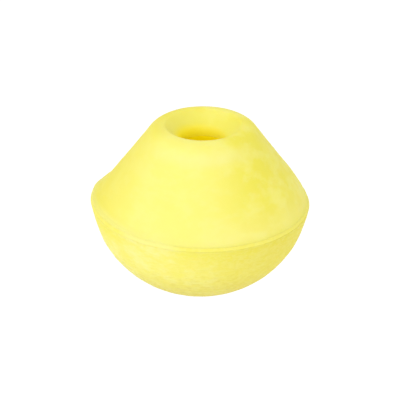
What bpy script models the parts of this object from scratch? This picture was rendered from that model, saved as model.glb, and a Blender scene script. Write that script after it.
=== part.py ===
"""Hollow fishing float with a line hole: two moulded half shells cemented round a tube.

The float stands on the flat ring round its lower mouth. The origin is the centre of that
ring, and +Z runs up the line hole. Every piece is turned from a section of (radius, height)
points, in metres, whose heights start at the piece's own origin.
"""

import math

import bmesh
import bpy

# Driving dimensions of the outside.
OUTER_RADIUS = 0.03175
PARTING_HEIGHT = 0.02515
CREST_RISE = 0.0241
BORE_RADIUS = 0.00635
RIM_RADIUS = 0.00515
MOUTH_EDGE_ROUND = 0.001
FUNNEL_TILT = math.radians(45)
CONE_FOOT_RADIUS = 0.0302
CONE_FOOT_RISE = 0.0015
LIP_RADIUS = 0.0312
LIP_RISE = 0.001
LIP_ROUND = 0.0005
BOWL_ARC_RADIUS = 0.0311
BOWL_ARC_RISE = 0.00375
SHOULDER_ROUND = 0.0005
FOOT_ROUND = 0.0015
EXIT_FLARE_RADIUS = 0.003

# Walls, joints and clearances.
WALL = 0.002
GAP = 0.0003
TUBE_WALL = 0.0015
SOCKET_WALL = 0.0016
SOCKET_DEPTH = 0.005
NECK_LENGTH = 0.0015
SPIGOT_OUTER_RADIUS = 0.0289
SPIGOT_WALL = 0.0012
SPIGOT_DEPTH = 0.003
SEAT_RADIUS = SPIGOT_OUTER_RADIUS + GAP
CREASE_FLOOR_RADIUS = 0.0302
CREASE_HALF_HEIGHT = 0.00045
BEAD_OUTER_RADIUS = 0.0311
TUBE_CHAMFER = 0.0003

TURN_STEPS = 60
SHARP_ANGLE = math.radians(38)

YELLOW_SMOOTH = (0.90, 0.85, 0.20)
YELLOW_STREAKED = (0.86, 0.80, 0.19)
YELLOW_DEEP = (0.80, 0.62, 0.06)
CEMENT_OLIVE = (0.62, 0.56, 0.13)

TUBE_OUTER_RADIUS = BORE_RADIUS + TUBE_WALL
SOCKET_RADIUS = TUBE_OUTER_RADIUS + GAP
BOSS_RADIUS = SOCKET_RADIUS + SOCKET_WALL
LOWER_SHOULDER = EXIT_FLARE_RADIUS + NECK_LENGTH
UPPER_SHOULDER = CREST_RISE - RIM_RADIUS - NECK_LENGTH


def arc(centre, radius, start, end, steps):
    """Section points on an arc, where an angle of 0 is outward and a quarter turn is up."""
    angles = [start + (end - start) * step / steps for step in range(steps + 1)]
    return [
        (centre[0] + radius * math.cos(angle), centre[1] + radius * math.sin(angle))
        for angle in angles
    ]


def plain_material(name, colour, roughness):
    material = bpy.data.materials.new(name)
    material.use_nodes = True
    shader = material.node_tree.nodes["Principled BSDF"]
    shader.inputs["Base Color"].default_value = (*colour, 1.0)
    shader.inputs["Roughness"].default_value = roughness
    shader.inputs["Metallic"].default_value = 0.0
    return material


def turned(name, section, height, material, parent):
    """Spin a closed section round the line hole's axis into one closed ring."""
    shape = bmesh.new()
    corners = [shape.verts.new((radius, 0.0, rise)) for radius, rise in section]
    outline = [shape.edges.new(pair) for pair in zip(corners, corners[1:] + corners[:1])]
    bmesh.ops.spin(
        shape,
        geom=corners + outline,
        cent=(0.0, 0.0, 0.0),
        axis=(0.0, 0.0, 1.0),
        angle=2.0 * math.pi,
        steps=TURN_STEPS,
        use_merge=True,
    )
    bmesh.ops.recalc_face_normals(shape, faces=shape.faces)
    mesh = bpy.data.meshes.new(name)
    shape.to_mesh(mesh)
    shape.free()
    mesh.shade_smooth()
    mesh.set_sharp_from_angle(angle=SHARP_ANGLE)
    mesh.materials.append(material)
    piece = bpy.data.objects.new(name, mesh)
    piece.location = (0.0, 0.0, height)
    piece.parent = parent
    bpy.context.collection.objects.link(piece)
    return piece


def upper_shell_section():
    """The cone half: funnel mouth, crown, cone, lip, crease, spigot, chamber and tube socket."""
    rim_centre = (BORE_RADIUS + RIM_RADIUS, CREST_RISE - RIM_RADIUS)
    # The cone is the line through its foot that touches the rounded rim.
    across = CONE_FOOT_RADIUS - rim_centre[0]
    down = CONE_FOOT_RISE - rim_centre[1]
    cone_tilt = math.atan2(down, across) + math.acos(RIM_RADIUS / math.hypot(across, down))
    crown = arc(rim_centre, RIM_RADIUS, math.pi / 2, cone_tilt, 6)
    # The mouth is a straight funnel under a softly rounded edge.
    edge_centre = (rim_centre[0], CREST_RISE - MOUTH_EDGE_ROUND)
    edge = arc(edge_centre, MOUTH_EDGE_ROUND, math.pi / 2 + FUNNEL_TILT, math.pi / 2, 4)
    funnel_drop = (edge[0][0] - BORE_RADIUS) * math.tan(FUNNEL_TILT)
    mouth = [(BORE_RADIUS, edge[0][1] - funnel_drop)] + edge + crown[1:]
    lip_centre = (LIP_RADIUS - LIP_ROUND, LIP_RISE - LIP_ROUND)
    lip = arc(lip_centre, LIP_ROUND, math.pi / 2, 0.0, 4)
    # The chamber follows the crown and the funnel at one wall's thickness.
    hollow_radius = RIM_RADIUS - WALL
    edge_rise = RIM_RADIUS - MOUTH_EDGE_ROUND
    funnel_distance = edge_rise * math.cos(FUNNEL_TILT) + MOUTH_EDGE_ROUND - WALL
    roof_end = math.pi / 2 + FUNNEL_TILT - math.acos(funnel_distance / hollow_radius)
    roof = arc(rim_centre, hollow_radius, cone_tilt, roof_end, 4)
    roof_drop = (roof[-1][0] - BOSS_RADIUS) * math.tan(FUNNEL_TILT)
    spigot_inner = SPIGOT_OUTER_RADIUS - SPIGOT_WALL
    slope_foot = roof[0][1] - (spigot_inner - roof[0][0]) / math.tan(cone_tilt)
    crease = [
        (LIP_RADIUS, CREASE_HALF_HEIGHT),
        (CREASE_FLOOR_RADIUS, CREASE_HALF_HEIGHT),
        (CREASE_FLOOR_RADIUS, GAP / 2),
    ]
    spigot = [
        (SPIGOT_OUTER_RADIUS, GAP / 2),
        (SPIGOT_OUTER_RADIUS, -SPIGOT_DEPTH),
        (spigot_inner, -SPIGOT_DEPTH),
        (spigot_inner, slope_foot),
    ]
    socket = [
        (BOSS_RADIUS, roof[-1][1] - roof_drop),
        (BOSS_RADIUS, UPPER_SHOULDER - SOCKET_DEPTH),
        (SOCKET_RADIUS, UPPER_SHOULDER - SOCKET_DEPTH),
        (SOCKET_RADIUS, UPPER_SHOULDER),
        (BORE_RADIUS, UPPER_SHOULDER),
    ]
    foot = [(CONE_FOOT_RADIUS, CONE_FOOT_RISE)]
    return mouth + foot + lip + crease + spigot + roof + socket


def lower_shell_section():
    """The bowl half: shoulder, bowl, foot ring, lower mouth, tube socket, chamber and seat."""
    # Both rounded corners lie inside the bowl's arc and touch it.
    shoulder_drop = BOWL_ARC_RISE + CREASE_HALF_HEIGHT + SHOULDER_ROUND
    shoulder_reach = math.sqrt((BOWL_ARC_RADIUS - SHOULDER_ROUND) ** 2 - shoulder_drop**2)
    bowl_centre = (
        OUTER_RADIUS - SHOULDER_ROUND - shoulder_reach,
        PARTING_HEIGHT + BOWL_ARC_RISE,
    )
    shoulder_angle = -math.atan2(shoulder_drop, shoulder_reach)
    shoulder_centre = (OUTER_RADIUS - SHOULDER_ROUND, bowl_centre[1] - shoulder_drop)
    shoulder = arc(shoulder_centre, SHOULDER_ROUND, math.pi / 2, 0.0, 3)
    foot_drop = bowl_centre[1] - FOOT_ROUND
    foot_reach = math.sqrt((BOWL_ARC_RADIUS - FOOT_ROUND) ** 2 - foot_drop**2)
    foot_angle = -math.atan2(foot_drop, foot_reach)
    foot_centre = (bowl_centre[0] + foot_reach, FOOT_ROUND)
    foot = arc(foot_centre, FOOT_ROUND, foot_angle, -math.pi / 2, 3)
    bowl = arc(bowl_centre, BOWL_ARC_RADIUS, shoulder_angle, foot_angle, 12)
    flare_centre = (BORE_RADIUS + EXIT_FLARE_RADIUS, EXIT_FLARE_RADIUS)
    flare = arc(flare_centre, EXIT_FLARE_RADIUS, -math.pi / 2, -math.pi, 6)
    socket = [
        (BORE_RADIUS, LOWER_SHOULDER),
        (SOCKET_RADIUS, LOWER_SHOULDER),
        (SOCKET_RADIUS, LOWER_SHOULDER + SOCKET_DEPTH),
        (BOSS_RADIUS, LOWER_SHOULDER + SOCKET_DEPTH),
        (BOSS_RADIUS, WALL),
    ]
    hollow_radius = BOWL_ARC_RADIUS - WALL
    floor_angle = -math.asin((bowl_centre[1] - WALL) / hollow_radius)
    seat_angle = -math.acos((SEAT_RADIUS - bowl_centre[0]) / hollow_radius)
    chamber = arc(bowl_centre, hollow_radius, floor_angle, seat_angle, 10)
    seat = [
        (SEAT_RADIUS, PARTING_HEIGHT - GAP / 2),
        (CREASE_FLOOR_RADIUS, PARTING_HEIGHT - GAP / 2),
        (CREASE_FLOOR_RADIUS, PARTING_HEIGHT - CREASE_HALF_HEIGHT),
    ]
    return shoulder + bowl + foot[1:] + flare + socket + chamber + seat


def line_tube_section(length):
    """The tube's wall, with its four end corners taken off."""
    return [
        (BORE_RADIUS, TUBE_CHAMFER),
        (BORE_RADIUS + TUBE_CHAMFER, 0.0),
        (TUBE_OUTER_RADIUS - TUBE_CHAMFER, 0.0),
        (TUBE_OUTER_RADIUS, TUBE_CHAMFER),
        (TUBE_OUTER_RADIUS, length - TUBE_CHAMFER),
        (TUBE_OUTER_RADIUS - TUBE_CHAMFER, length),
        (BORE_RADIUS + TUBE_CHAMFER, length),
        (BORE_RADIUS, length - TUBE_CHAMFER),
    ]


def seam_bead_section():
    """The cement in the crease, with a rounded outer side."""
    half_height = CREASE_HALF_HEIGHT - GAP
    outer_centre = (BEAD_OUTER_RADIUS - half_height, 0.0)
    inner_radius = CREASE_FLOOR_RADIUS + GAP
    back = [(inner_radius, half_height), (inner_radius, -half_height)]
    return back + arc(outer_centre, half_height, -math.pi / 2, math.pi / 2, 4)


for old_object in list(bpy.data.objects):
    bpy.data.objects.remove(old_object, do_unlink=True)

float_frame = bpy.data.objects.new("float_frame", None)
bpy.context.collection.objects.link(float_frame)

turned(
    "lower_shell",
    lower_shell_section(),
    0.0,
    plain_material("streaked_yellow_plastic", YELLOW_STREAKED, 0.6),
    float_frame,
)
turned(
    "upper_shell",
    upper_shell_section(),
    PARTING_HEIGHT,
    plain_material("smooth_yellow_plastic", YELLOW_SMOOTH, 0.55),
    float_frame,
)
tube_foot = LOWER_SHOULDER + GAP
turned(
    "line_tube",
    line_tube_section(PARTING_HEIGHT + UPPER_SHOULDER - GAP - tube_foot),
    tube_foot,
    plain_material("deep_yellow_plastic", YELLOW_DEEP, 0.5),
    float_frame,
)
turned(
    "seam_bead",
    seam_bead_section(),
    PARTING_HEIGHT,
    plain_material("joint_cement", CEMENT_OLIVE, 0.6),
    float_frame,
)
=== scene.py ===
"""The looks of a hollow fishing float: two moulded yellow half shells round a tube for the line."""

import math

import bpy
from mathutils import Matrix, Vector


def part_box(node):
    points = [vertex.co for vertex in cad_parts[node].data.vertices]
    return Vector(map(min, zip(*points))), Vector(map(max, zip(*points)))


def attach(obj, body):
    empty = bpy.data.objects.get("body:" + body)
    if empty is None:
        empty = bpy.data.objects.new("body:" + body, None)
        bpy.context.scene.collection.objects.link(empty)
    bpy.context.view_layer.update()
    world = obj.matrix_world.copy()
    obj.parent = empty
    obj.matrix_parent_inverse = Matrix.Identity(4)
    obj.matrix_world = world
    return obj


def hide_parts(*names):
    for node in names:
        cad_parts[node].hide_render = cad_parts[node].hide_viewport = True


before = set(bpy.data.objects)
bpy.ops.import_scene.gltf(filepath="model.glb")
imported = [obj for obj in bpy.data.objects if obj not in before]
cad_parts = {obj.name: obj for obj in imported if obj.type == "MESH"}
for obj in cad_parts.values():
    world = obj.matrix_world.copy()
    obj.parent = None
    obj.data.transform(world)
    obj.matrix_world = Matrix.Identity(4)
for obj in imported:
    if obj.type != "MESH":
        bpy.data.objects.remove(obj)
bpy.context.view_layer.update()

# --- Line tube ---------------------------------------------------------------------------------
# The straight tube that the line runs through. It is extruded in a deep yellow plastic, cut to
# length, and cemented into a socket in each shell, which closes the air chamber round it.


class Wire:
    """One output of a node. Arithmetic on it adds Math nodes to the same tree."""

    def __init__(self, plan, socket):
        self.plan = plan
        self.socket = socket

    def out(self, name):
        return Wire(self.plan, self.socket.node.outputs[name])

    def math(self, operation, *values):
        return self.plan.node("ShaderNodeMath", {"operation": operation}, dict(enumerate(values)))

    def __add__(self, other):
        return self.math("ADD", self, other)

    def __sub__(self, other):
        return self.math("SUBTRACT", self, other)

    def __rsub__(self, other):
        return self.math("SUBTRACT", other, self)

    def __mul__(self, other):
        return self.math("MULTIPLY", self, other)

    def __truediv__(self, other):
        return self.math("DIVIDE", self, other)

    def __pow__(self, other):
        return self.math("POWER", self, other)

    __radd__ = __add__
    __rmul__ = __mul__

    def step(self, low, high):
        """0 below low, 1 above high and smooth between them."""
        ends = {"Value": self, "From Min": low, "From Max": high}
        return self.plan.node("ShaderNodeMapRange", {"interpolation_type": "SMOOTHSTEP"}, ends)

    def near(self, middle, reach):
        """1 at the middle and 0 a reach away from it on either side."""
        return 1.0 - self.math("ABSOLUTE", self - middle).step(0.0, reach)


class Plan:
    """A node tree that is being drawn."""

    def __init__(self, tree):
        self.tree = tree

    def node(self, kind, settings=None, values=None):
        """Adds a node: its settings first, then what each of its sockets holds or is fed by."""
        node = self.tree.nodes.new(kind)
        for name, setting in (settings or {}).items():
            setattr(node, name, setting)
        for name, value in (values or {}).items():
            if isinstance(value, Wire):
                self.tree.links.new(value.socket, node.inputs[name])
            else:
                node.inputs[name].default_value = value
        return Wire(self, node.outputs[0]) if node.outputs else node

    def vector(self, x, y, z):
        return self.node("ShaderNodeCombineXYZ", {}, {0: x, 1: y, 2: z})

    def add(self, first, second):
        settings = {"operation": "ADD"}
        return self.node("ShaderNodeVectorMath", settings, {0: first, 1: second})

    def noise(self, place, scale, detail=2.0, roughness=0.5):
        """Cloudy noise from about 0.25 to 0.75, whose scale is in lumps to the metre."""
        values = {"Vector": place, "Scale": scale, "Detail": detail, "Roughness": roughness}
        return self.node("ShaderNodeTexNoise", {}, values)

    def mix(self, share, first, second):
        """A colour that goes from the first to the second as the share goes from 0 to 1."""
        # A Mix node has a set of sockets for each data type. These are the ones for colours.
        factor, first_colour, second_colour, mixed_colour = 0, 6, 7, 2
        values = {factor: share, first_colour: first, second_colour: second}
        return self.node("ShaderNodeMix", {"data_type": "RGBA"}, values).out(mixed_colour)


class Place:
    """Where a point of a round piece is: how far across, back, up and out from the hole's axis."""

    def __init__(self, plan, position):
        self.position = position
        self.across = plan.node("ShaderNodeSeparateXYZ", {}, {0: position})
        self.deep = self.across.out("Y")
        self.height = self.across.out("Z")
        self.radius = (self.across * self.across + self.deep * self.deep) ** 0.5

    def facing(self, right, back):
        """1 on the side that faces that way, -1 on the opposite side. +X is right, +Y is back."""
        return (self.across * right + self.deep * back) / self.radius

    def outward(self, plan, distance):
        """A step of that length straight out from the line hole's axis."""
        share = distance / self.radius
        return plan.vector(self.across * share, self.deep * share, 0.0)


def run(start, end, steps):
    """Outline points along a straight line, without its last one."""
    across, along = end[0] - start[0], end[1] - start[1]
    return [(start[0] + across * n / steps, start[1] + along * n / steps) for n in range(steps)]


def turning_tree(name, inputs, sizes, stray):
    """Geometry Nodes that spin an outline round the hole's axis, then move and dress the skin."""
    tree = bpy.data.node_groups.new(name, "GeometryNodeTree")
    tree.interface.new_socket("Outline", in_out="INPUT", socket_type="NodeSocketGeometry")
    tree.interface.new_socket("Piece", in_out="OUTPUT", socket_type="NodeSocketGeometry")
    kinds = {int: "NodeSocketInt", float: "NodeSocketFloat"}
    for label, value in inputs.items():
        kind = kinds.get(type(value), "NodeSocketMaterial")
        tree.interface.new_socket(label, in_out="INPUT", socket_type=kind)
    plan = Plan(tree)
    given = plan.node("NodeGroupInput")
    circle = {"Resolution": given.out("Turn Steps"), "Radius": given.out("Rail Radius")}
    rail = plan.node("GeometryNodeCurvePrimitiveCircle", {"mode": "RADIUS"}, circle)
    section = plan.node("GeometryNodeMeshToCurve", {}, {"Mesh": given})
    turned = plan.node("GeometryNodeCurveToMesh", {}, {"Curve": rail, "Profile Curve": section})
    place = Place(plan, plan.node("GeometryNodeInputPosition"))
    offset = stray(plan, place, {label: given.out(label) for label in sizes})
    moved = plan.node("GeometryNodeSetPosition", {}, {"Geometry": turned, "Offset": offset})
    whole = plan.node("GeometryNodeRealizeInstances", {}, {"Geometry": moved})
    finish = {"Geometry": whole, "Material": given.out("Finish")}
    finished = plan.node("GeometryNodeSetMaterial", {}, finish)
    plan.node("NodeGroupOutput", {}, {"Piece": finished})
    return tree


def lathe(name, outline, turn_steps, sizes, stray, material):
    """A piece turned from a closed outline of (radius, height) points.

    stray(plan, place, size) gives how far a point strays from the true turned shape, and size
    holds the tree's inputs under the names that sizes gives them.
    """
    sharp_angle = math.radians(40)
    inputs = {"Turn Steps": turn_steps, "Rail Radius": outline[0][0], **sizes, "Finish": material}
    section_mesh = bpy.data.meshes.new(name + "_outline")
    # The rail carries the outline with its own y axis pointing down.
    corners = [(radius - outline[0][0], -height, 0.0) for radius, height in outline]
    edges = [(corner, (corner + 1) % len(corners)) for corner in range(len(corners))]
    section_mesh.from_pydata(corners, edges, [])
    source = bpy.data.objects.new(name + "_outline", section_mesh)
    bpy.context.scene.collection.objects.link(source)
    turning = source.modifiers.new("turning", "NODES")
    turning.node_group = turning_tree(name + "_turning", inputs, sizes, stray)
    for socket in turning.node_group.interface.items_tree:
        if socket.name in inputs:
            turning[socket.identifier] = inputs[socket.name]
    shaped = source.evaluated_get(bpy.context.evaluated_depsgraph_get())
    mesh = bpy.data.meshes.new_from_object(shaped)
    bpy.data.objects.remove(source)
    mesh.name = name
    mesh.shade_smooth()
    mesh.set_sharp_from_angle(angle=sharp_angle)
    piece = bpy.data.objects.new(name, mesh)
    bpy.context.scene.collection.objects.link(piece)
    return piece


def dress(name, paint, constants):
    """A Principled material: constants set sockets that never vary, and paint() draws the rest."""
    material = bpy.data.materials.new(name)
    material.use_nodes = True
    material.node_tree.nodes.clear()
    plan = Plan(material.node_tree)
    coordinates = plan.node("ShaderNodeTexCoord").out("Object")
    varying = paint(plan, Place(plan, coordinates))
    shader = plan.node("ShaderNodeBsdfPrincipled", {}, {**constants, **varying})
    plan.node("ShaderNodeOutputMaterial", {}, {"Surface": shader})
    return material


tube_low, tube_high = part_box("line_tube")
bore_radius = 0.00635
tube_end_gap = 0.00025
tube_chamfer = 0.0003
drawn_gold = (0.80, 0.65, 0.0, 1.0)
pale_gold = (0.82, 0.69, 0.004, 1.0)
# The shells and the tube are thin, and a painted glow (emission) stands in for the daylight that
# shines through them into the hole.
painted_tube_glow = (0.105, 0.085, 0.0, 1.0)


def tube_outline():
    """Outer wall and bore, with a small chamfer on each of the four end corners."""
    inner, outer = bore_radius, tube_high.x
    foot, top = tube_low.z - tube_end_gap, tube_high.z + tube_end_gap
    chamfer = tube_chamfer
    outside = run((outer, top - chamfer), (outer, foot + chamfer), steps=30)
    inside = run((inner, foot + chamfer), (inner, top - chamfer), steps=30)
    return [
        *outside,
        (outer, foot + chamfer),
        (outer - chamfer, foot),
        (inner + chamfer, foot),
        *inside,
        (inner, top - chamfer),
        (inner + chamfer, top),
        (outer - chamfer, top),
    ]


def tube_stray(plan, place, size):
    """It leans from its foot to where the cone's socket holds its top."""
    share = (place.height - tube_low.z) / (tube_high.z - tube_low.z)
    return plan.vector(size["Tube Lean"] * share, 0.0, 0.0)


def tube_paint(plan, place):
    """Deep golden plastic with faint lines drawn along it by the extruder."""
    drawn_out = plan.vector(place.across, place.deep, place.height * 0.06)
    lines = plan.noise(drawn_out, scale=1400.0, detail=3.0).step(0.35, 0.7)
    bump = {"Height": lines, "Strength": 0.25, "Distance": 0.00008}
    return {
        "Base Color": plan.mix(lines, drawn_gold, pale_gold),
        "Roughness": 0.45 + 0.15 * lines,
        "Normal": plan.node("ShaderNodeBump", {}, bump),
    }


# The emission is a painted glow for light coming through the thin walls.
tube_constants = {
    "Specular IOR Level": 0.05,
    "Emission Color": painted_tube_glow,
    "Emission Strength": 1.0,
}
golden_tube = dress("golden_tube_plastic", tube_paint, tube_constants)
tube_turn_steps = 180
tube_sizes = {"Tube Lean": 0.0006}
line_tube = lathe(
    "drawn_line_tube", tube_outline(), tube_turn_steps, tube_sizes, tube_stray, golden_tube
)
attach(line_tube, "root")
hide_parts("line_tube")

# --- Lower shell -------------------------------------------------------------------------------
# The bowl half. It is moulded in yellow plastic, and its outside was scraped and brushed after
# moulding, so it is blotchy and streaked round. A flat ring round its mouth is what it stands on.

lower_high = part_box("lower_shell")[1]
bead_low, bead_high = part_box("seam_bead")
parting_height = (bead_low.z + bead_high.z) / 2
joint_gap = 0.0003
bowl_arc_radius = 0.0311
bowl_arc_rise = 0.00375
crease_half_height = 0.00045
crease_floor_radius = 0.0302
shoulder_round = 0.00008
foot_round = 0.0015
exit_flare_radius = 0.003
neck_length = 0.0015
wall = 0.002
spigot_radius = 0.0289
seat_radius = spigot_radius + joint_gap
socket_radius = tube_high.x + joint_gap
socket_wall = 0.0016
socket_depth = 0.005
shell_turn_steps = 432
# How far out of true the halves were when the cement set, in metres, and the tilt as a slope.
set_sizes = {
    "Cone Shift": 0.0005,
    "Lean": 0.0002,
    "Joint Shift": 0.00015,
    "Joint Tilt": 0.024,
    "Joint Warp": 0.0003,
    "Left Step": 0.0003,
    "Back Drop": 0.0006,
    "Lip Flare": 0.00025,
    "Proud Lip": 0.0001,
    "Left Ledge": 0.0005,
}
# Where each of them starts and is full, as heights above the joint or a depth behind the hole.
joint_reach = 0.008
shift_span = (0.0004, 0.003)
lean_span = (0.008, 0.024)
back_span = (0.004, 0.013)
lip_foot_span = (-0.0004, 0.0004)
lip_top_span = (0.00095, 0.00125)
ledge_top_span = (0.002, 0.006)
flare_middle, flare_reach = 0.0005, 0.0017


def on_left(place):
    """1 where the cone, which set a little to the right, leaves the joint's edge bare."""
    return place.facing(right=-1.0, back=0.0).step(0.35, 0.95)


def set_offset(plan, place, size):
    """How the cement set: the cone sits to the right and the joint is higher on the left."""
    rise = place.height - parting_height
    joint = rise.near(0.0, joint_reach)
    above_lip = rise.step(*lip_top_span)
    right = size["Cone Shift"] * rise.step(*shift_span) + size["Lean"] * rise.step(*lean_span)
    far_left = place.facing(right=-1.0, back=0.0).step(0.9, 1.0)
    bow = size["Joint Warp"] * (place.across / lower_high.x) ** 2
    drop = size["Back Drop"] * place.deep.step(*back_span)
    up = (size["Left Step"] * far_left + bow - size["Joint Tilt"] * place.across - drop) * joint
    proud = size["Proud Lip"] * rise.step(*lip_foot_span) * (1.0 - above_lip)
    ledge = size["Left Ledge"] * above_lip * (1.0 - rise.step(*ledge_top_span))
    flare = size["Lip Flare"] * rise.near(flare_middle, flare_reach)
    shifted = plan.vector(right - size["Joint Shift"] * joint, 0.0, up)
    return plan.add(shifted, place.outward(plan, flare + on_left(place) * (proud - ledge)))


def key_lit_side(place):
    """1 in front on the left, which faces the key light most; the paint puts painted light there.
    """
    return place.facing(right=-0.47, back=-0.88).step(0.94, 0.985)


def arc(centre, radius, start, end, steps):
    """Outline points on an arc, where an angle of 0 is outward and a quarter turn is up."""
    turns = [start + (end - start) * step / steps for step in range(steps + 1)]
    return [(centre[0] + radius * math.cos(t), centre[1] + radius * math.sin(t)) for t in turns]


def lower_outline():
    """Shoulder, bowl, foot ring, lower mouth, tube socket, chamber wall and seat."""
    boss_radius = socket_radius + socket_wall
    shoulder_drop = bowl_arc_rise + crease_half_height + shoulder_round
    shoulder_reach = math.sqrt((bowl_arc_radius - shoulder_round) ** 2 - shoulder_drop**2)
    bowl_radius = lower_high.x - shoulder_round - shoulder_reach
    bowl_centre = (bowl_radius, parting_height + bowl_arc_rise)
    shoulder_angle = -math.atan2(shoulder_drop, shoulder_reach)
    shoulder_centre = (lower_high.x - shoulder_round, bowl_centre[1] - shoulder_drop)
    foot_drop = bowl_centre[1] - foot_round
    foot_reach = math.sqrt((bowl_arc_radius - foot_round) ** 2 - foot_drop**2)
    foot_angle = -math.atan2(foot_drop, foot_reach)
    foot_centre = (bowl_centre[0] + foot_reach, foot_round)
    quarter = math.pi / 2
    shoulder = arc(shoulder_centre, shoulder_round, quarter, shoulder_angle, steps=8)
    bowl = arc(bowl_centre, bowl_arc_radius, shoulder_angle, foot_angle, steps=110)
    foot = arc(foot_centre, foot_round, foot_angle, -quarter, steps=8)
    mouth_centre = (bore_radius + exit_flare_radius, exit_flare_radius)
    mouth = arc(mouth_centre, exit_flare_radius, -quarter, -math.pi, steps=12)
    hollow_radius = bowl_arc_radius - wall
    floor_angle = -math.asin((bowl_centre[1] - wall) / hollow_radius)
    seat_angle = -math.acos((seat_radius - bowl_centre[0]) / hollow_radius)
    chamber = arc(bowl_centre, hollow_radius, floor_angle, seat_angle, steps=20)
    socket_foot = exit_flare_radius + neck_length
    seat_top = parting_height - joint_gap / 2
    return [
        *shoulder,
        *bowl[1:],
        *foot[1:],
        *mouth,
        (bore_radius, socket_foot),
        (socket_radius, socket_foot),
        (socket_radius, socket_foot + socket_depth),
        (boss_radius, socket_foot + socket_depth),
        (boss_radius, wall),
        *chamber,
        (seat_radius, seat_top),
        (crease_floor_radius, seat_top),
        (crease_floor_radius, parting_height - crease_half_height),
    ]


def lower_stray(plan, place, size):
    """The scraped skin is uneven, and it is drawn in a little below the joint."""
    rise = place.height - parting_height
    outside = place.radius.step(0.0125, 0.0145)
    below_joint = 1.0 - rise.step(-0.0025, -0.0005)
    uneven = plan.noise(place.position, scale=260.0, detail=3.0) - 0.5
    lumps = uneven * size["Unevenness"] * outside * below_joint
    waist = size["Waist"] * rise.near(-0.006, 0.005) * outside
    return plan.add(set_offset(plan, place, size), place.outward(plan, lumps - waist))


shadow_yellow = (0.83, 0.73, 0.07, 1.0)
painted_lit_yellow = (0.885, 0.805, 0.15, 1.0)
bowl_cream = (0.90, 0.85, 0.30, 1.0)
painted_crease_shade_yellow = (0.87, 0.785, 0.085, 1.0)
painted_right_shade_yellow = (0.77, 0.66, 0.06, 1.0)
painted_base_shade_yellow = (0.67, 0.565, 0.065, 1.0)
chalky_cream = (0.93, 0.87, 0.34, 1.0)
scuffed_yellow = (0.66, 0.53, 0.05, 1.0)


def lower_paint(plan, place):
    """Yellow with cream blotches, brushed streaks that run round it and worn scuffs near the base,
    with painted light and shade: paler on the lit side, darker under the lip, on the right and
    towards the base.
    """
    rise = place.height - parting_height
    round_it = plan.vector(place.across * 0.5, place.deep * 0.5, place.height)
    streaks = plan.noise(round_it, scale=620.0, detail=4.0, roughness=0.6)
    blotches = plan.noise(place.position, scale=130.0, detail=4.0, roughness=0.6)
    # Painted light: the side towards the key light is paler and the far side deeper, and the cream
    # blotches show most on the lit side.
    painted_lit_side = place.facing(right=-0.5, back=-0.87).step(0.0, 0.9)
    yellow = plan.mix(painted_lit_side, shadow_yellow, painted_lit_yellow)
    pale = (0.6 * streaks + 0.6 * blotches).step(0.5, 0.75)
    yellow = plan.mix(pale * (0.12 + 0.6 * painted_lit_side), yellow, bowl_cream)
    # Painted shade: a deeper yellow band under the cone's lip, stronger on the left and left out
    # where the key light falls.
    painted_under_lip_shade = rise.near(-0.0015, 0.0045) * (1.0 - key_lit_side(place))
    yellow = plan.mix((0.55 + 0.3 * on_left(place)) * painted_under_lip_shade, yellow, painted_crease_shade_yellow)
    # Painted shade on the right side of the bowl, away from the key light.
    painted_right_shade = place.facing(right=0.85, back=-0.53).step(0.2, 1.0)
    yellow = plan.mix(painted_right_shade * 0.5, yellow, painted_right_shade_yellow)
    # Painted shade: darker towards the base, where the bowl turns down to the floor.
    painted_base_shade = 1.0 - (place.height + 0.004 * blotches).step(0.001, 0.0185)
    yellow = plan.mix(painted_base_shade, yellow, painted_base_shade_yellow)
    mottle = plan.noise(round_it, scale=1300.0, detail=3.0, roughness=0.7).step(0.42, 0.62)
    yellow = plan.mix(mottle * 0.17, yellow, chalky_cream)
    scuffs = plan.noise(round_it, scale=900.0, detail=2.0, roughness=0.6).step(0.52, 0.68)
    near_base = 1.0 - place.height.step(0.008, 0.022)
    yellow = plan.mix(scuffs * near_base * 0.25, yellow, scuffed_yellow)
    grit = plan.noise(place.position, scale=2400.0, detail=2.0)
    bump = {"Height": streaks + 0.35 * grit, "Strength": 0.35, "Distance": 0.0003}
    return {
        "Base Color": yellow,
        "Roughness": 0.5 + 0.25 * streaks,
        "Normal": plan.node("ShaderNodeBump", {}, bump),
    }


skin_constants = {
    "Specular IOR Level": 0.25,
    "Subsurface Weight": 0.2,
    "Subsurface Radius": (0.003, 0.0022, 0.0005),
    "Subsurface Scale": 1.0,
}
lower_sizes = {**set_sizes, "Waist": 0.0002, "Unevenness": 0.0004}
brushed_yellow = dress("brushed_yellow_plastic", lower_paint, skin_constants)
lower_shell = lathe(
    "moulded_lower_shell",
    lower_outline(),
    shell_turn_steps,
    lower_sizes,
    lower_stray,
    brushed_yellow,
)
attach(lower_shell, "root")
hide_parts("lower_shell")

# --- Seam bead ---------------------------------------------------------------------------------
# The cement that squeezed out into the crease between the two halves and set there. It was
# wiped off by hand, so it stands a little proud in some places and has sunk in others.

bead_clearance = 0.00002
lip_radius = 0.0311
dull_yellow = (0.88, 0.80, 0.13, 1.0)
crumb_yellow = (0.89, 0.82, 0.17, 1.0)
painted_lit_cement = (0.90, 0.83, 0.24, 1.0)


def bead_outline():
    """A thin ring whose sloping face runs from the cone's lip to the bowl's shoulder."""
    inner = crease_floor_radius + bead_clearance
    half_height = crease_half_height - bead_clearance
    top, foot = parting_height + half_height, parting_height - half_height
    shoulder = lower_high.x - shoulder_round
    face = run((lip_radius, top), (shoulder, foot), steps=12)
    return [*face, (shoulder, foot), (inner, foot), (inner, top)]


def bead_stray(plan, place, size):
    """It was wiped unevenly, so the middle of its face is proud here and sunk there."""
    proud = (plan.noise(place.position, scale=420.0, detail=3.0) - 0.5) * size["Wiping"]
    mid_face = (place.height - parting_height).near(0.0, crease_half_height)
    face = mid_face * place.radius.step(0.0305, 0.031)
    return plan.add(set_offset(plan, place, size), place.outward(plan, proud * face))


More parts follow.
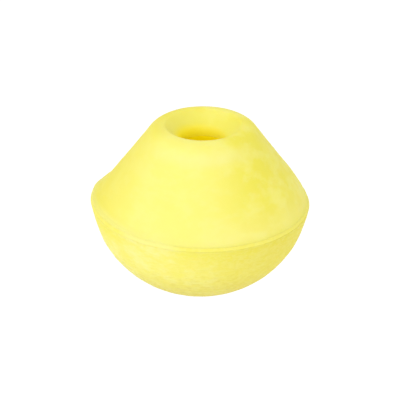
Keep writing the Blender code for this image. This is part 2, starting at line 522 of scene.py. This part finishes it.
def bead_paint(plan, place):
    """Cement the colour of the shells, a little duller, with paler crumbs, and paler in front on
    the left as painted light.
    """
    crumbs = plan.noise(place.position, scale=900.0, detail=3.0).step(0.45, 0.65)
    colour = plan.mix(key_lit_side(place), plan.mix(crumbs, dull_yellow, crumb_yellow), painted_lit_cement)
    bump = {"Height": crumbs, "Strength": 0.3, "Distance": 0.0001}
    return {
        "Base Color": colour,
        "Roughness": 0.6 + 0.2 * crumbs,
        "Normal": plan.node("ShaderNodeBump", {}, bump),
    }


bead_sizes = {**set_sizes, "Wiping": 0.0003}
dull_cement = dress("dull_joint_cement", bead_paint, {"Specular IOR Level": 0.3})
seam_bead = lathe(
    "wiped_seam_bead", bead_outline(), shell_turn_steps, bead_sizes, bead_stray, dull_cement
)
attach(seam_bead, "root")
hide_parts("seam_bead")

# --- Upper shell -------------------------------------------------------------------------------
# The cone half. It is moulded in the same plastic, with a funnel mouth whose edge is softly
# rounded. Its lip sits just inside the lower half's shoulder, and its spigot is cemented in.

upper_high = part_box("upper_shell")[1]
rim_radius = 0.00515
mouth_edge_round = 0.0013
funnel_tilt = math.radians(45)
funnel_foot_round = 0.0032
lip_round = 0.0009
spigot_wall = 0.0012
spigot_depth = 0.003
deep_flank = (0.86, 0.77, 0.085, 1.0)
pale_flank = (0.88, 0.80, 0.12, 1.0)
painted_lit_cone = (0.90, 0.835, 0.185, 1.0)
cone_cream = (0.90, 0.85, 0.26, 1.0)
shaded_cone = (0.83, 0.72, 0.075, 1.0)
painted_highlight_cream = (0.90, 0.84, 0.30, 1.0)
painted_lit_cone_foot = (0.90, 0.845, 0.27, 1.0)
dusty_cone = (0.93, 0.84, 0.27, 1.0)
painted_lip_shade_yellow = (0.87, 0.785, 0.095, 1.0)
painted_ledge_highlight = (0.94, 0.87, 0.31, 1.0)
painted_funnel_shade_yellow = (0.88, 0.83, 0.16, 1.0)
hole_gold = (0.86, 0.745, 0.02, 1.0)
# The hole's emission is a painted glow for light coming through the thin walls.
no_painted_glow = (0.0, 0.0, 0.0, 1.0)
painted_hole_glow = (0.085, 0.062, 0.0, 1.0)


def upper_outline():
    """Funnel mouth, crown, cone, lip, crease, spigot, chamber wall and tube socket."""
    quarter = math.pi / 2
    boss_radius = socket_radius + socket_wall
    crest_rise = upper_high.z - parting_height
    rim_centre = (bore_radius + rim_radius, crest_rise - rim_radius)
    lip_centre = (lip_radius - lip_round, crease_half_height)
    # The cone is the line that touches both the rounded rim and the rounded lip.
    across = lip_centre[0] - rim_centre[0]
    down = lip_centre[1] - rim_centre[1]
    tilt = math.atan2(down, across) + math.acos((rim_radius - lip_round) / math.hypot(across, down))
    crown = arc(rim_centre, rim_radius, quarter, tilt, steps=24)
    lip = arc(lip_centre, lip_round, tilt, 0.0, steps=12)
    cone = run(crown[-1], lip[0], steps=110)
    # The funnel is straight under a softly rounded edge, and one more arc turns it into the hole.
    edge_centre = (rim_centre[0], crest_rise - mouth_edge_round)
    edge = arc(edge_centre, mouth_edge_round, quarter + funnel_tilt, quarter, steps=12)
    funnel_foot = edge[0][1] - (edge[0][0] - bore_radius) * math.tan(funnel_tilt)
    foot_drop = funnel_foot_round * math.tan(funnel_tilt / 2)
    foot_centre = (bore_radius + funnel_foot_round, funnel_foot - foot_drop)
    foot = arc(foot_centre, funnel_foot_round, math.pi, quarter + funnel_tilt, steps=14)
    funnel = run(foot[-1], edge[0], steps=20)
    # The chamber follows the crown and the funnel at one wall's thickness.
    hollow_radius = rim_radius - wall
    edge_rise = rim_radius - mouth_edge_round
    funnel_distance = edge_rise * math.cos(funnel_tilt) + mouth_edge_round - wall
    roof_end = quarter + funnel_tilt - math.acos(funnel_distance / hollow_radius)
    roof = arc(rim_centre, hollow_radius, tilt, roof_end, steps=10)
    boss_top = roof[-1][1] - (roof[-1][0] - boss_radius) * math.tan(funnel_tilt)
    spigot_inner = spigot_radius - spigot_wall
    slope_foot = roof[0][1] - (spigot_inner - roof[0][0]) / math.tan(tilt)
    socket_top = crest_rise - rim_radius - neck_length
    rises = [
        (bore_radius, socket_top),
        *foot,
        *funnel[1:],
        *edge,
        *crown[1:],
        *cone[1:],
        *lip,
        (crease_floor_radius, crease_half_height),
        (crease_floor_radius, joint_gap / 2),
        (spigot_radius, joint_gap / 2),
        (spigot_radius, -spigot_depth),
        (spigot_inner, -spigot_depth),
        (spigot_inner, slope_foot),
        *roof,
        (boss_radius, boss_top),
        (boss_radius, socket_top - socket_depth),
        (socket_radius, socket_top - socket_depth),
        (socket_radius, socket_top),
    ]
    return [(radius, parting_height + rise) for radius, rise in rises]


def upper_stray(plan, place, size):
    """Its lip is ragged, its skin is a little uneven and its cone is slightly full low down."""
    rise = place.height - parting_height
    lip = rise.near(0.0009, 0.0011) * place.radius.step(0.0297, 0.0306)
    wear = plan.noise(place.position, scale=520.0, detail=3.0) - 0.5
    ragged = wear * size["Lip Wear"] * lip
    outside = place.radius.step(0.007, 0.009) * rise.step(0.001, 0.003)
    uneven = plan.noise(place.position, scale=90.0, detail=2.0) - 0.5
    lumps = uneven * size["Unevenness"] * outside
    belly = size["Belly"] * rise.near(0.0075, 0.006) * outside
    return plan.add(set_offset(plan, place, size), place.outward(plan, ragged + lumps + belly))


def upper_paint(plan, place):
    """Smooth yellow in front, cream and deeper patches on the flanks and gold in the hole, with
    painted light, shade, highlights and glow.
    """
    rise = place.height - parting_height
    round_it = plan.vector(place.across * 0.6, place.deep * 0.6, place.height)
    brushed = plan.noise(round_it, scale=420.0, detail=4.0, roughness=0.6)
    patches = plan.noise(place.position, scale=95.0, detail=3.0)
    flank = plan.mix(patches.step(0.4, 0.6), deep_flank, pale_flank)
    # Painted light: the cone is paler on the side that faces the key light.
    painted_lit_side = place.facing(right=-0.42, back=-0.91).step(0.3, 1.0)
    yellow = plan.mix(painted_lit_side, flank, painted_lit_cone)
    pale = (0.6 * brushed + 0.5 * patches).step(0.46, 0.68)
    yellow = plan.mix(pale * 0.45, yellow, cone_cream)
    shaded = place.facing(right=-0.9, back=0.43).step(0.2, 0.95)
    yellow = plan.mix(shaded * 0.5, yellow, shaded_cone)
    # Painted highlight: a paler band round the front just under the mouth.
    painted_highlight_band = rise.near(0.0205, 0.003) * place.facing(right=0.0, back=-1.0).step(0.3, 1.0)
    yellow = plan.mix(painted_highlight_band * 0.5, yellow, painted_highlight_cream)
    cone_foot = 1.0 - rise.step(0.001, 0.009)
    # Painted light: the cone's foot is paler in front on the left, where the key light falls.
    yellow = plan.mix(cone_foot * key_lit_side(place) * 0.25, yellow, painted_lit_cone_foot)
    dusty = place.facing(right=0.64, back=-0.77).step(0.5, 0.95)
    yellow = plan.mix(cone_foot * dusty * 0.45, yellow, dusty_cone)
    # Painted shade: a deeper yellow at the cone's foot by the joint, left out where the key light
    # falls.
    lip = (1.0 - rise.step(0.0002, 0.0014)) * (1.0 - key_lit_side(place))
    yellow = plan.mix(lip * 0.45, yellow, painted_lip_shade_yellow)
    # Painted highlight: a paler line on the bare ledge at the left, whose top faces up into the
    # light.
    ledge = on_left(place) * (rise - 0.0009 * on_left(place)).near(0.0011, 0.0009)
    yellow = plan.mix(ledge * 0.35, yellow, painted_ledge_highlight)
    at_top = rise.step(0.014, 0.016)
    # Painted shade: the inside of the funnel is a deeper yellow, as it gets less light.
    painted_funnel_shade = (1.0 - place.radius.step(0.0095, 0.0122)) * at_top
    yellow = plan.mix(painted_funnel_shade * 0.55, yellow, painted_funnel_shade_yellow)
    in_hole = (1.0 - place.radius.step(0.0058, 0.0082)) * at_top
    yellow = plan.mix(in_hole, yellow, hole_gold)
    grain = plan.noise(place.position, scale=2200.0, detail=2.0)
    bump = {"Height": 0.5 * brushed + 0.3 * grain, "Strength": 0.25, "Distance": 0.0002}
    return {
        "Base Color": yellow,
        "Roughness": 0.5 + 0.2 * brushed,
        "Emission Color": plan.mix(in_hole, no_painted_glow, painted_hole_glow),
        "Normal": plan.node("ShaderNodeBump", {}, bump),
    }


upper_sizes = {**set_sizes, "Lip Wear": 0.0004, "Belly": 0.0001, "Unevenness": 0.0004}
# The emission strength drives the painted glow in the hole.
glowing_constants = {**skin_constants, "Emission Strength": 1.0}
smooth_yellow = dress("smooth_yellow_plastic", upper_paint, glowing_constants)
upper_shell = lathe(
    "moulded_upper_shell",
    upper_outline(),
    shell_turn_steps,
    upper_sizes,
    upper_stray,
    smooth_yellow,
)
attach(upper_shell, "root")
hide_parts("upper_shell")

# --- Studio ------------------------------------------------------------------------------------
# A plain white sweep under the float, lit evenly all round, with one large soft light from the
# upper left in front, and a long lens that looks down at the float.

scene = bpy.context.scene
white = (1.0, 1.0, 1.0, 1.0)
floor_size = 1.6
paper_looks = {
    "Base Color": (0.1, 0.1, 0.1, 1.0),
    "Roughness": 0.9,
    "Specular IOR Level": 0.0,
    "Emission Color": white,
    "Emission Strength": 1.0,
}
key_size = 0.7
key_power = 4.0
key_place = (-0.45, -0.75, 0.85)
sky_seen = 1.0
sky_light = 0.87
lens = 180.0
sensor_width = 36.0
lens_elevation = math.radians(26.65)
lens_distance = 0.583
aim_drop = 0.0002
aim_left = 0.00017

floor_mesh = bpy.data.meshes.new("white_sweep")
half = floor_size / 2
floor_corners = [(-half, -half, 0.0), (half, -half, 0.0), (half, half, 0.0), (-half, half, 0.0)]
floor_mesh.from_pydata(floor_corners, [], [(0, 1, 2, 3)])
floor = bpy.data.objects.new("white_sweep", floor_mesh)
scene.collection.objects.link(floor)
sweep = bpy.data.materials.new("white_sweep_paint")
sweep.use_nodes = True
paper = sweep.node_tree.nodes["Principled BSDF"]
for socket_name, value in paper_looks.items():
    paper.inputs[socket_name].default_value = value
floor_mesh.materials.append(sweep)

world = bpy.data.worlds.new("even_white_room")
world.use_nodes = True
world.node_tree.nodes.clear()
room = Plan(world.node_tree)
# The room is a full white where the camera sees it, and lights the float a little less.
camera_ray = room.node("ShaderNodeLightPath").out("Is Camera Ray")
strength = sky_light + (sky_seen - sky_light) * camera_ray
backdrop = room.node("ShaderNodeBackground", {}, {"Color": white, "Strength": strength})
room.node("ShaderNodeOutputWorld", {}, {"Surface": backdrop})
scene.world = world


def look(thing, place, target):
    """Place a light or a camera and point it at a target."""
    thing.location = place
    thing.rotation_euler = (Vector(target) - Vector(place)).to_track_quat("-Z", "Y").to_euler()
    scene.collection.objects.link(thing)


key_light = bpy.data.lights.new("soft_key", "AREA")
key_light.shape = "DISK"
key_light.size = key_size
key_light.energy = key_power
look(bpy.data.objects.new("soft_key", key_light), key_place, (0.0, 0.0, parting_height))

camera_data = bpy.data.cameras.new("long_lens")
camera_data.lens = lens
camera_data.sensor_width = sensor_width
camera = bpy.data.objects.new("long_lens", camera_data)
aim = Vector((-aim_left, 0.0, parting_height - aim_drop))
back = Vector((0.0, -math.cos(lens_elevation), math.sin(lens_elevation)))
look(camera, aim + back * lens_distance, aim)
scene.camera = camera
scene.view_settings.view_transform = "Standard"
